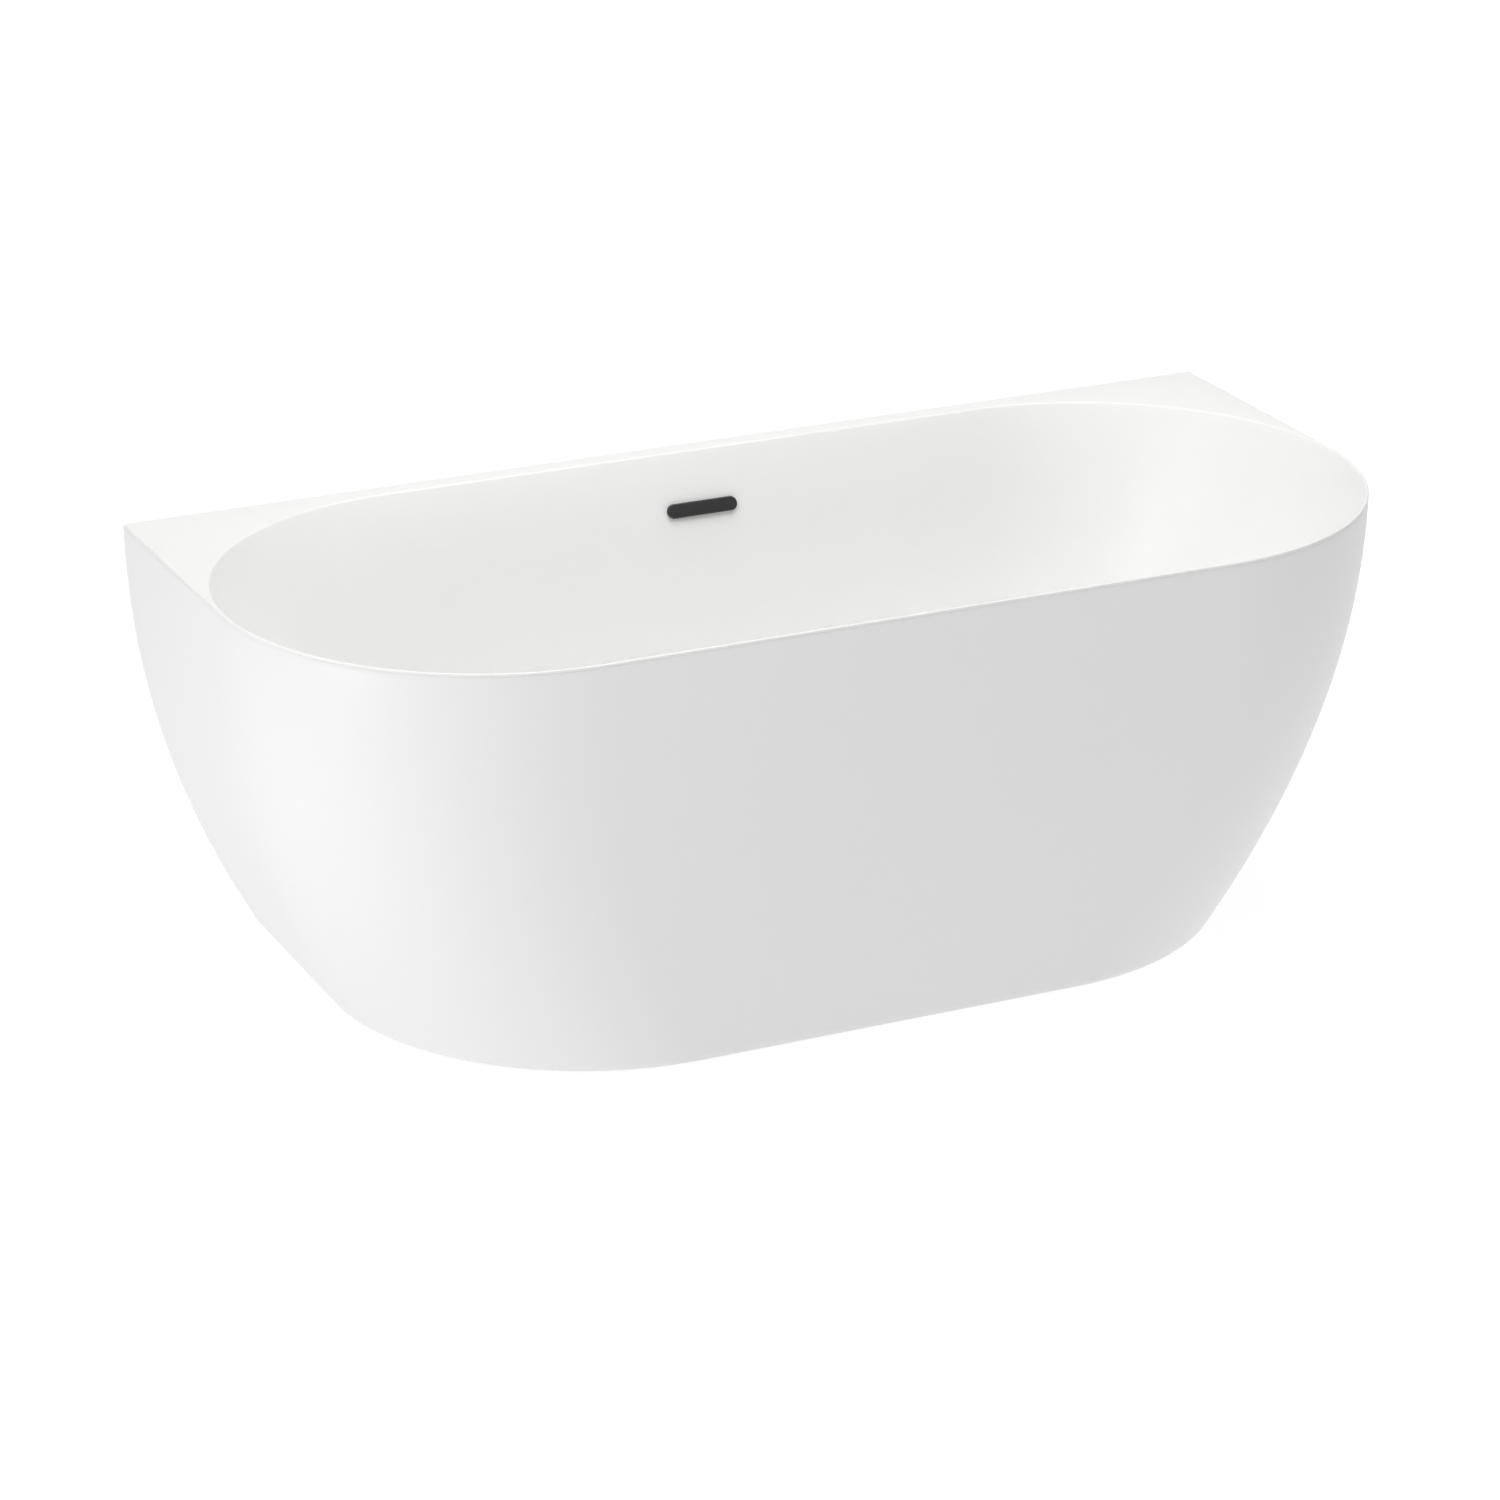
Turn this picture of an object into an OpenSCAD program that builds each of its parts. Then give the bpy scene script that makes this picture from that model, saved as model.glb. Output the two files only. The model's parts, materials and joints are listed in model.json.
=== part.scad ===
// Back-to-wall bathtub: moulded shell, bonded outer skirt, steel frame on six
// levelling feet, slim overflow with hose, click-clack waste and shallow trap.
// Millimetres. Z = 0 is the floor, X runs along the tub, +Y faces the wall.

/* [Tub] */
// Length over the rim
tub_l = 1600; // [1560:10:1640]
// Width from the wall plane to the front rim
tub_w = 750; // [740:5:770]
// Height of the rim above the floor
tub_h = 600; // [590:5:610]
// Plan radius of the two front corners
corner_r = 363.5; // [350:0.5:370]
// How far each end draws in from the rim to the floor
end_tuck = 167; // [140:1:170]
// Curvature exponent of the ends, seen from the front
end_curve = 2.05; // [1.6:0.05:2.4]
// How far the front draws in from the rim to the floor
front_tuck = 88; // [60:1:95]
// Curvature exponent of the front, seen from the end
front_curve = 1.7; // [1.4:0.05:2.2]

/* [Basin] */
// Half length of the basin at the rim
basin_a = 796; // [790:0.5:797]
// Half width of the basin at the rim
basin_b = 358; // [354:0.5:359]
// How far each end of the basin leans in down to the floor
basin_end_lean = 251; // [230:1:260]
// How far each long wall of the basin leans in down to the floor
basin_side_lean = 133; // [120:1:140]
// Height of the basin floor at its edge
basin_floor = 155; // [150:1:160]
// Fillet between the walls and the basin floor
basin_fillet = 70; // [55:1:80]
// Wall thickness of the moulded shell
shell_t = 5; // [4.5:0.1:5.5]
// Thickness of the rim's visible edge, above the skirt
lip_h = 4; // [3.5:0.5:5]
// Wall thickness of the outer skirt
skirt_t = 3.6; // [3:0.1:5]
// Width of the skirt's returns along the wall
return_w = 60; // [40:5:80]

/* [Overflow] */
// Length of the overflow cover
cover_l = 104; // [100:1:108]
// Height of the overflow cover
cover_h = 20; // [18:0.5:22]
// Height of the overflow's centre above the floor
overflow_z = 529; // [525:1:532]

/* [Waste] */
// Diameter of the waste flange
flange_d = 72; // [70:1:76]
// Lift of the click-clack plug
plug_lift = 10; // [6:1:12]
// Outer diameter of the outlet pipe
outlet_d = 40; // [39.8:0.1:40.2]

/* [Frame and feet] */
// Side of the square frame tube
tube_s = 30; // [25:1:30]
// Thickness of the base board
board_t = 16; // [15:1:18]
// Nominal diameter of the foot rods
rod_d = 12; // [12:0.1:12.1]
// Diameter of the foot pads
pad_d = 60; // [50:1:64]

/* [Hidden] */
$fn = 48;

back = tub_w / 2;                 // the wall plane, Y
skirt_gap = 3;                    // skirt edge above the floor
yc = back - 386;                  // centre line of the basin, Y
floor_u = 146;                    // flat underside of the shell below the floor
floor_drain = 152;                // basin floor at the waste
drain_r = 26;                     // hole for the waste
board_z = floor_u - board_t;      // underside of the board
rail_y = 130;                     // rails each side of the centre line
rail_z = board_z - tube_s;        // underside of the rails
rail_l = 900;
foot_y = 170;                     // feet each side of the centre line
foot_x = [-420, -80, 420];
foot_pos = [for (s = [-1, 1]) for (x = foot_x) [x, yc + s * foot_y, s]];
brk_t = 4;                        // bracket plate
rod_r = rod_d / 2;
fit = 0.08;                       // running clearance on the rods
pad_h = 14;
rod_bot = 5;
rod_top = 138;
// white acrylic, reinforcement, steel, plastics
c_white = [0.95, 0.95, 0.945];
c_steel = [0.62, 0.64, 0.66];
c_black = [0.07, 0.07, 0.075];
c_grey = [0.72, 0.73, 0.74];
c_rubber = [0.12, 0.12, 0.12];

// ---------- outline functions ----------
nq = 16;  // segments in a quarter arc
ns = 8;   // segments along a straight
function depth_t(z) = max(0, (tub_h - z) / tub_h);
function out_a(z) = tub_l / 2 - end_tuck * pow(depth_t(z), end_curve);
function out_d(z) = tub_w - front_tuck * pow(depth_t(z), front_curve);
function tand(a) = sin(a) / cos(a);

// D-shaped outline at height z, drawn in by e, as a closed ring at height h
function d_ring(z, e, h) = let (a = out_a(z), d = out_d(z), r = corner_r, cx = a - r, cy = back - d + r, hh = back - cy)
  concat(
    [for (i = [0:ns - 1]) [cx * (1 - 2 * i / ns), back - e, h]],
    [for (j = [0:nq - 1]) let (t = 90 * j / nq) t <= 45 ? [-cx - (r - e) * tand(t), back - e, h] : [-a + e, cy + (hh - e) * tand(90 - t), h]],
    [for (j = [0:nq - 1]) let (t = 180 + 90 * j / nq) [-cx + (r - e) * cos(t), cy + (r - e) * sin(t), h]],
    [for (i = [0:ns - 1]) [-cx + 2 * cx * i / ns, cy - r + e, h]],
    [for (j = [0:nq - 1]) let (t = 270 + 90 * j / nq) [cx + (r - e) * cos(t), cy + (r - e) * sin(t), h]],
    [for (j = [0:nq - 1]) let (t = 90 * j / nq) t < 45 ? [a - e, cy + (hh - e) * tand(t), h] : [cx + (r - e) * tand(90 - t), back - e, h]]);

// Stadium with half length a and half width b, as a closed ring at height h
function yb(h) = yc - 2 * min(1, max(0, (h - basin_floor) / (tub_h - basin_floor)));
function s_ring(a, b, h) = let (cx = max(0.5, a - b), y0 = yb(h))
  concat(
    [for (i = [0:ns - 1]) [cx * (1 - 2 * i / ns), y0 + b, h]],
    [for (j = [0:nq - 1]) let (t = 90 + 90 * j / nq) [-cx + b * cos(t), y0 + b * sin(t), h]],
    [for (j = [0:nq - 1]) let (t = 180 + 90 * j / nq) [-cx + b * cos(t), y0 + b * sin(t), h]],
    [for (i = [0:ns - 1]) [-cx + 2 * cx * i / ns, y0 - b, h]],
    [for (j = [0:nq - 1]) let (t = 270 + 90 * j / nq) [cx + b * cos(t), y0 + b * sin(t), h]],
    [for (j = [0:nq - 1]) let (t = 90 * j / nq) [cx + b * cos(t), y0 + b * sin(t), h]]);

// Basin walls: half length and half width at height z, and the fillet's inset
function wall_u(z) = min(1, max(0, (tub_h - z) / (tub_h - basin_floor)));
function in_a(z) = let (u = wall_u(z)) basin_a - basin_end_lean * (0.9 * u + 0.1 * (1 - pow(1 - u, 3)));
function in_b(z) = let (u = wall_u(z)) basin_b - basin_side_lean * (0.62 * u + 0.38 * (1 - pow(1 - u, 4)));
function fil(z) = let (h = max(0, z - basin_floor)) h >= basin_fillet ? 0 : basin_fillet - sqrt(pow(basin_fillet, 2) - pow(basin_fillet - h, 2));
function wall_ring(z) = s_ring(in_a(z) - fil(z), in_b(z) - fil(z), z);
// the same wall, moved out square to its slope by t
function slope_z(z) = (in_b(z + 0.5) - fil(z + 0.5)) - (in_b(z - 0.5) - fil(z - 0.5));
function back_ring(z, t) = let (s = slope_z(z), n = sqrt(1 + s * s)) s_ring(in_a(z) - fil(z) + t / n, in_b(z) - fil(z) + t / n, max(floor_u, z - t * s / n));
// rings a and b mixed point by point: a + (b - a) * (no more than k, and no more than w millimetres)
function mix_ring(a, b, k, w, h) = [for (i = [0:len(a) - 1]) let (v = b[i] - a[i], f = min(k, w / sqrt(v[0] * v[0] + v[1] * v[1]))) [a[i][0] + v[0] * f, a[i][1] + v[1] * f, h]];

// closed tube of rings: ring after ring, the last joined to the first
function loop_faces(n, m) = [for (r = [0:m - 1]) for (i = [0:n - 1]) let (r2 = (r + 1) % m, i2 = (i + 1) % n)
    each [[r * n + i, r2 * n + i, r2 * n + i2], [r * n + i, r2 * n + i2, r * n + i2]]];

wall_z = [for (k = [0:11]) tub_h - 8 - (tub_h - 8 - basin_floor - basin_fillet) * pow(k / 11, 1.15)];
fil_z = [for (k = [1:6]) basin_floor + basin_fillet * (1 - sin(90 * k / 6))];
lip_z = tub_h - lip_h;

module shell_body() {
  lipw = s_ring(in_a(lip_z) + 2.1, in_b(lip_z) + 2.1, lip_z);
  edge = d_ring(lip_z, 0, lip_z);
  fa = in_a(basin_floor) - basin_fillet;
  fb = in_b(basin_floor) - basin_fillet;
  rings = concat(
    [edge, d_ring(tub_h - 1.5, 0, tub_h - 1.5), d_ring(tub_h, 0.45, tub_h - 0.45), d_ring(tub_h, 1.5, tub_h),
     s_ring(basin_a + 1.3, basin_b + 1.3, tub_h), s_ring(basin_a + 0.2, basin_b + 0.2, tub_h - 0.5), s_ring(in_a(tub_h - 2.4), in_b(tub_h - 2.4), tub_h - 2.4)],
    [for (z = wall_z) wall_ring(z)],
    [for (z = fil_z) wall_ring(z)],
    [s_ring(fa * 0.7, fb * 0.72, basin_floor - 1), s_ring(fa * 0.4, fb * 0.55, basin_floor - 2), s_ring(60, 58, floor_drain), s_ring(drain_r + 0.5, drain_r, floor_drain),
     s_ring(drain_r + 0.5, drain_r, floor_u), s_ring(60, 58, floor_u), s_ring(fa * 0.4, fb * 0.55, floor_u), s_ring(fa * 0.7, fb * 0.72, floor_u), s_ring(fa + 2, fb + 2, floor_u)],
    [for (k = [5:-1:1]) let (z = fil_z[k - 1]) back_ring(z, shell_t)],
    [for (k = [11:-1:2]) back_ring(wall_z[k], shell_t)],
    [s_ring(in_a(lip_z - 4) + 4.6, in_b(lip_z - 4) + 4.6, lip_z - 5),
     lipw, mix_ring(lipw, edge, 0.3, 5, lip_z),
     
     mix_ring(edge, lipw, 0.3, 8, lip_z)]);
  n = len(rings[0]);
  polyhedron(points = [for (r = rings) each r], faces = loop_faces(n, len(rings)), convexity = 12);
}

// overflow frame: origin on the basin's rear wall, +Z square to the wall into the basin, +Y up the wall
ov_y = yb(overflow_z) + in_b(overflow_z);
ov_s = in_b(overflow_z + 0.5) - in_b(overflow_z - 0.5);
ov_tilt = 90 - atan(ov_s);
module at_overflow() { translate([0, ov_y, overflow_z]) rotate([ov_tilt, 0, 0]) children(); }
module pill(l, h, t, z0) { translate([0, 0, z0]) linear_extrude(height = t) hull() for (s = [-1, 1]) translate([s * (l - h) / 2, 0]) circle(d = h, $fn = 40); }
ov_back = -8;  // flat face of the boss behind the wall

module tub_shell() color(c_white) resize([0, 0, 0]) difference() {
  union() { shell_body(); at_overflow() pill(132, 44, 5.5, ov_back); }
  at_overflow() { pill(84, 10, 40, -20); for (s = [-1, 1]) translate([s * 30, 0, 0]) cylinder(d = 7, h = 60, center = true, $fn = 24); }
}

// U-shaped path of the skirt at height z, inset e: wall return, end, front, end, wall return
function u_path(z, e) = let (a = out_a(z), d = out_d(z), r = corner_r, cx = a - r, cy = back - d + r)
  concat(
    [for (k = [2:-1:1]) [-a + e + (return_w - e) * k / 2, back - e, z]],
    [for (k = [0:4]) [-a + e, (back - e) + (cy - back + e) * k / 5, z]],
    [for (j = [0:nq]) let (t = 180 + 90 * j / nq) [-cx + (r - e) * cos(t), cy + (r - e) * sin(t), z]],
    [for (i = [1:ns - 1]) [-cx + 2 * cx * i / ns, cy - r + e, z]],
    [for (j = [0:nq]) let (t = 270 + 90 * j / nq) [cx + (r - e) * cos(t), cy + (r - e) * sin(t), z]],
    [for (k = [4:-1:0]) [a - e, (back - e) + (cy - back + e) * k / 5, z]],
    [for (k = [1:2]) [a - e - (return_w - e) * k / 2, back - e, z]]);
nz = 14;
skirt_z = [for (k = [0:nz]) skirt_gap + (lip_z - skirt_gap) * (1 - pow(1 - k / nz, 1.15))];
module outer_skirt() color(c_white) {
  outer = [for (z = skirt_z) u_path(z, 0)];
  inner = [for (z = skirt_z) u_path(z, skirt_t)];
  n = len(outer[0]);
  m = nz + 1;
  rings = concat(outer, [for (k = [nz:-1:0]) inner[k]]);
  faces = concat(
    [for (r = [0:2 * m - 1]) for (i = [0:n - 2]) let (r2 = (r + 1) % (2 * m)) each [[r * n + i, r2 * n + i, r2 * n + i + 1], [r * n + i, r2 * n + i + 1, r * n + i + 1]]],
    [for (k = [0:m - 2]) let (p = k, q = k + 1, p2 = 2 * m - 1 - k, q2 = 2 * m - 2 - k) each [[p * n, p2 * n, q2 * n], [p * n, q2 * n, q * n],
      [p * n + n - 1, q2 * n + n - 1, p2 * n + n - 1], [p * n + n - 1, q * n + n - 1, q2 * n + n - 1]]]);
  polyhedron(points = [for (r = rings) each r], faces = faces, convexity = 10);
}

// ---------- structure ----------
module base_board() color([0.72, 0.58, 0.40]) translate([0, yc, board_z]) difference() {
  linear_extrude(height = board_t) hull() for (s = [-1, 1]) for (t = [-1, 1]) translate([s * 350, t * 50]) circle(r = 100, $fn = 48);
  translate([0, 0, -1]) cylinder(r = 52, h = board_t + 2);
  for (x = [-380, -200, 200, 380]) for (s = [-1, 1]) translate([x, s * (rail_y - tube_s / 2 - 12), -1]) cylinder(r = 2, h = 13, $fn = 24);
}
module rim_batten() color([0.78, 0.64, 0.45]) translate([-600, back - 26, lip_z - 26]) cube([1200, 14, 26]);

module rail(s) color(c_steel) translate([-rail_l / 2, yc + s * rail_y, rail_z]) {
  difference() {
    translate([0, -tube_s / 2, 0]) cube([rail_l, tube_s, tube_s]);
    translate([-1, -tube_s / 2 + 2, 2]) cube([rail_l + 2, tube_s - 4, tube_s - 4]);
  }
  // tabs that take the screws into the board
  for (x = [-380, -200, 200, 380]) difference() {
    translate([rail_l / 2 + x - 12, s > 0 ? -tube_s / 2 - 24 : tube_s / 2, tube_s - 3]) cube([24, 24, 3]);
    translate([rail_l / 2 + x, -s * (tube_s / 2 + 12), tube_s - 4]) cylinder(r = 2.75, h = 5, $fn = 24);
  }
}
module frame_rail_front() rail(-1);
module frame_rail_rear() rail(1);
module cross_member(x) color(c_steel) translate([x, yc, rail_z]) difference() {
  translate([-tube_s / 2, -rail_y + tube_s / 2, 0]) cube([tube_s, 2 * rail_y - tube_s, tube_s - 4]);
  translate([-tube_s / 2 + 2, -rail_y, 2]) cube([tube_s - 4, 2 * rail_y, tube_s - 8]);
}
module cross_member_left() cross_member(-300);
module cross_member_middle() cross_member(-120);
module cross_member_right() cross_member(300);

module foot_bracket(i) { p = foot_pos[i]; color(c_steel) translate([p[0], p[1], rail_z]) difference() {
  union() {
    // foot plate, and the leg that lies against the rail
    translate([-24, p[2] > 0 ? -(foot_y - rail_y - tube_s / 2) : -22, 0]) cube([48, 22 + foot_y - rail_y - tube_s / 2, brk_t]);
    translate([-24, p[2] > 0 ? -(foot_y - rail_y - tube_s / 2) : foot_y - rail_y - tube_s / 2 - brk_t, brk_t]) cube([48, brk_t, tube_s - brk_t]);
    // side gussets
    for (sx = [-24, 21]) translate([sx, 0, brk_t]) rotate([90, 0, 90]) linear_extrude(height = 3) polygon(p[2] > 0 ?
      [[-(foot_y - rail_y - tube_s / 2) + brk_t, 0], [8, 0], [-(foot_y - rail_y - tube_s / 2) + brk_t, tube_s - brk_t - 2]] :
      [[foot_y - rail_y - tube_s / 2 - brk_t, 0], [-8, 0], [foot_y - rail_y - tube_s / 2 - brk_t, tube_s - brk_t - 2]]);
  }
  translate([0, 0, -1]) cylinder(r = rod_r + fit, h = brk_t + 2);
} }
module foot_1_bracket() foot_bracket(0);
module foot_2_bracket() foot_bracket(1);
module foot_3_bracket() foot_bracket(2);
module foot_4_bracket() foot_bracket(3);
module foot_5_bracket() foot_bracket(4);
module foot_6_bracket() foot_bracket(5);

module hex_nut(af, h) difference() { cylinder(d = af / cos(30), h = h, $fn = 6); translate([0, 0, -1]) cylinder(r = rod_r + fit, h = h + 2); }
module foot_weld_nuts() color(c_steel) for (p = foot_pos) translate([p[0], p[1], rail_z + brk_t]) hex_nut(18, 10);
module foot_lock_nuts() color([0.78, 0.76, 0.66]) for (p = foot_pos) translate([p[0], p[1], rail_z - 7]) hex_nut(18, 7);

module foot_rod(i) { p = foot_pos[i]; color([0.78, 0.78, 0.75]) translate([p[0], p[1], 0]) {
  translate([0, 0, rod_bot]) cylinder(r = rod_r, h = rod_top - rod_bot - 1);
  translate([0, 0, rod_top - 1]) cylinder(r1 = rod_r, r2 = rod_r - 1, h = 1);
  // hexagon for the spanner
  translate([0, 0, pad_h + 0.1]) cylinder(d = 17 / cos(30), h = 8, $fn = 6);
} }
module foot_1_rod() foot_rod(0);
module foot_2_rod() foot_rod(1);
module foot_3_rod() foot_rod(2);
module foot_4_rod() foot_rod(3);
module foot_5_rod() foot_rod(4);
module foot_6_rod() foot_rod(5);

module foot_pad(i) { p = foot_pos[i]; color([0.16, 0.16, 0.17]) translate([p[0], p[1], 0]) difference() {
  rotate_extrude() polygon([[0, 0], [pad_d / 2 - 1.5, 0], [pad_d / 2, 1.5], [pad_d / 2, 5], [pad_d / 2 - 4, 7], [14, 9.5], [12, pad_h], [0, pad_h]]);
  translate([0, 0, rod_bot - 0.1]) cylinder(r = rod_r + fit, h = 20);
} }
module foot_1_pad() foot_pad(0);
module foot_2_pad() foot_pad(1);
module foot_3_pad() foot_pad(2);
module foot_4_pad() foot_pad(3);
module foot_5_pad() foot_pad(4);
module foot_6_pad() foot_pad(5);

module frame_screws() color([0.80, 0.78, 0.60]) for (s = [-1, 1]) for (x = [-380, -200, 200, 380])
  translate([x, yc + s * (rail_y - tube_s / 2 - 12), board_z]) {
    translate([0, 0, -7]) cylinder(d = 9, h = 4, $fn = 24);
    translate([0, 0, -3.5]) cylinder(r = 1.95, h = 14.5, $fn = 24);
  }

// ---------- overflow ----------
module overflow_cover() color(c_black) at_overflow() {
  // pill plate with a softly rounded front, on two posts
  pill(cover_l - 2, cover_h - 2, 0.6, 1.4);
  pill(cover_l, cover_h, 3, 2);
  pill(cover_l - 1.2, cover_h - 1.2, 0.9, 5);
  pill(cover_l - 3.4, cover_h - 3.4, 0.6, 5.9);
  for (s = [-1, 1]) translate([s * 30, 0, -9]) difference() { cylinder(d = 6, h = 11, $fn = 24); translate([0, 0, -1]) cylinder(d = 3.4, h = 9, $fn = 24); }
}
module overflow_gasket() color(c_rubber) at_overflow() difference() {
  pill(124, 36, 2.5, ov_back - 2.5);
  pill(92, 16, 4, ov_back - 3);
}
module overflow_body() color([0.85, 0.85, 0.84]) {
  at_overflow() difference() {
    union() { pill(128, 40, 3, ov_back - 5.5); pill(104, 26, 12, ov_back - 17.5); translate([0, -6, ov_back - 15]) rotate([-ov_tilt, 0, 0]) { translate([0, 0, -22]) cylinder(d = 28, h = 20); translate([0, 0, -36]) cylinder(d = 22, h = 15); } }
    pill(92, 16, 12, ov_back - 13.5);
    translate([0, -6, ov_back - 15]) rotate([-ov_tilt, 0, 0]) translate([0, 0, -40]) cylinder(d = 16, h = 41);
    for (s = [-1, 1]) translate([s * 30, 0, 0]) cylinder(d = 3.6, h = 80, center = true, $fn = 24);
  }
}
module overflow_screws() color(c_steel) at_overflow() for (s = [-1, 1]) translate([s * 30, 0, 0]) {
  translate([0, 0, -28.5]) cylinder(d = 6.5, h = 3, $fn = 24);
  translate([0, 0, -26]) cylinder(d = 3.2, h = 24, $fn = 24);
}

// point of the spigot's lower end, below the overflow body
function rotx(v, a) = [v[0], v[1] * cos(a) - v[2] * sin(a), v[1] * sin(a) + v[2] * cos(a)];
sp0 = [0, ov_y, overflow_z] + rotx([0, -6, ov_back - 15], ov_tilt);
sp_y = sp0[1];
sp_z = sp0[2] - 22;               // shoulder that the hose ends against

// hose: points of its centre line, rounded by a spline
hose_z = 80;                      // height of the waste body's port
hose_pts = [[sp_y, sp_z + 40], [sp_y, sp_z - 0.2], [sp_y, sp_z - 50], [sp_y - 1, 370], [sp_y - 8, 290], [sp_y - 18, 220], [sp_y - 36, 150], [sp_y - 72, 104], [sp_y - 120, 84], [150, 80], [95, 80], [yc + 52.2, 80], [0, 80]];
function hose_tang(p, i) = let (n = len(p), v = p[min(n - 1, i + 1)] - p[max(0, i - 1)]) i == 0 ? [0, -1] : i == n - 1 ? [-1, 0] : v / norm(v);
function cr(p0, p1, p2, p3, t) = 0.5 * (2 * p1 + (p2 - p0) * t + (2 * p0 - 5 * p1 + 4 * p2 - p3) * t * t + (3 * p1 - p0 - 3 * p2 + p3) * t * t * t);
hose_curve = [for (i = [1:len(hose_pts) - 3]) for (k = [0:3]) cr(hose_pts[i - 1], hose_pts[i], hose_pts[i + 1], hose_pts[i + 2], k / 4)];
function hose_ring(p, i, r, m) = let (t = hose_tang(p, i)) [for (k = [0:m - 1]) let (a = 360 * k / m) [r * cos(a), p[i][0] + r * sin(a) * t[1], p[i][1] - r * sin(a) * t[0]]];
module overflow_hose() color(c_grey) {
  pts = concat(hose_curve, [hose_pts[len(hose_pts) - 2]]);
  n = len(pts);
  ne = 12;

  polyhedron(points = concat([for (i = [0:n - 1]) each hose_ring(pts, i, 13, ne)], [for (i = [n - 1:-1:0]) each hose_ring(pts, i, 11.5, ne)]),
    faces = [for (f = loop_faces(ne, 2 * n)) [f[0], f[2], f[1]]]);
}
// compression nut: +Z towards the spigot, origin at the hose's end
module hose_nut() translate([0, 0, -12]) difference() { cylinder(d = 36, h = 22, $fn = 40); translate([0, 0, -1]) cylinder(d = 26.6, h = 14, $fn = 40); translate([0, 0, 11.8]) cylinder(d = 28.4, h = 20, $fn = 40); }
module hose_nut_upper() color(c_grey) translate([0, sp_y, sp_z]) hose_nut();
module hose_nut_lower() color(c_grey) translate([0, yc + 52, hose_z]) rotate([90, 0, 0]) hose_nut();

// ---------- waste ----------
module at_waste() translate([0, yc, 0]) children();
module waste_flange() color(c_black) at_waste() rotate_extrude() polygon([
  [21, floor_drain - 44], [24, floor_drain - 44], [24, floor_drain + 0.5], [flange_d / 2 - 6, floor_drain + 1.5], [flange_d / 2, floor_drain + 1.5],
  [flange_d / 2, floor_drain + 2.1], [flange_d / 2 - 1.2, floor_drain + 3], [31, floor_drain + 3.6], [26, floor_drain + 2.4], [21, floor_drain - 6]]);
module flange_seal() color(c_rubber) at_waste() difference() { translate([0, 0, floor_drain]) cylinder(r = flange_d / 2 - 2, h = 1.5); translate([0, 0, floor_drain - 1]) cylinder(r = 30.2, h = 4); }
module under_seal() color(c_rubber) at_waste() difference() { translate([0, 0, floor_u - 4]) cylinder(r = 36, h = 4); translate([0, 0, floor_u - 5]) cylinder(r = 24.2, h = 6); }
module waste_lock_nut() color(c_grey) at_waste() difference() {
  union() { translate([0, 0, floor_u - 7]) cylinder(r = 36, h = 3); translate([0, 0, floor_u - 16]) cylinder(d = 60 / cos(30), h = 9, $fn = 6); }
  translate([0, 0, floor_u - 20]) cylinder(r = 24.2, h = 20);
}
module plug_cap() color(c_black) at_waste() rotate_extrude() polygon([
  [0, floor_drain + 5.6], [4, floor_drain + 5.6], [4, floor_drain + 4.6], [20, floor_drain + 4.6], [30, floor_drain + 5], [31.5, floor_drain + 5.8], [31.5, floor_drain + 6.6],
  [30.6, floor_drain + 8], [26, floor_drain + 10], [18, floor_drain + 11.6], [9, floor_drain + 12.5], [0, floor_drain + 12.8]]);
module plug_seal() color(c_rubber) at_waste() rotate_extrude() polygon([[4.2, floor_drain + 2.6], [24, floor_drain + 2.6], [27.5, floor_drain + 4.0], [27.5, floor_drain + 4.5], [4.2, floor_drain + 4.5]]);
module plug_stem() color(c_steel) at_waste() {
  translate([0, 0, floor_drain - 33]) cylinder(r = 3, h = 33 + 2.4);
  translate([0, 0, floor_drain - 1]) cylinder(r = 8, h = 3.6);
  translate([0, 0, floor_drain + 2]) cylinder(r = 3.9, h = 3.6);
  translate([0, 0, floor_drain - 33]) cylinder(r = 4.6, h = 4);
}
module click_cartridge() color([0.80, 0.72, 0.45]) at_waste() {
  difference() {
    translate([0, 0, floor_drain - 56]) cylinder(r = 7, h = 42);
    translate([0, 0, floor_drain - 54]) cylinder(r = 5, h = 37);
    translate([0, 0, floor_drain - 20]) cylinder(r = 3 + fit, h = 8);
  }
  // cross bars that hold the cartridge in the flange's tail
  for (a = [0, 90]) rotate([0, 0, a]) for (s = [0, 180]) rotate([0, 0, s]) translate([6.5, -1.5, floor_drain - 42]) cube([14.4, 3, 8]);
}
spring_z0 = floor_drain - 54;
spring_z1 = floor_drain - 33;
module cartridge_spring() color(c_steel) at_waste() {
  turns = 5; nr = 60; ne = 6; r = 3.9; w = 0.5;
  z0 = spring_z0 + 0.6; z1 = spring_z1 - 0.6;
  polyhedron(points = [for (i = [0:nr]) let (a = 360 * turns * i / nr, z = z0 + (z1 - z0) * i / nr) for (k = [0:ne - 1]) let (b = 360 * k / ne) [(r + w * cos(b)) * cos(a), (r + w * cos(b)) * sin(a), z + w * sin(b)]],
    faces = concat([[for (k = [0:ne - 1]) k]], [[for (k = [ne - 1:-1:0]) nr * ne + k]],
      [for (i = [0:nr - 1]) for (k = [0:ne - 1]) let (k2 = (k + 1) % ne) each [[i * ne + k, (i + 1) * ne + k, (i + 1) * ne + k2], [i * ne + k, (i + 1) * ne + k2, i * ne + k2]]]));
}
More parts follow.
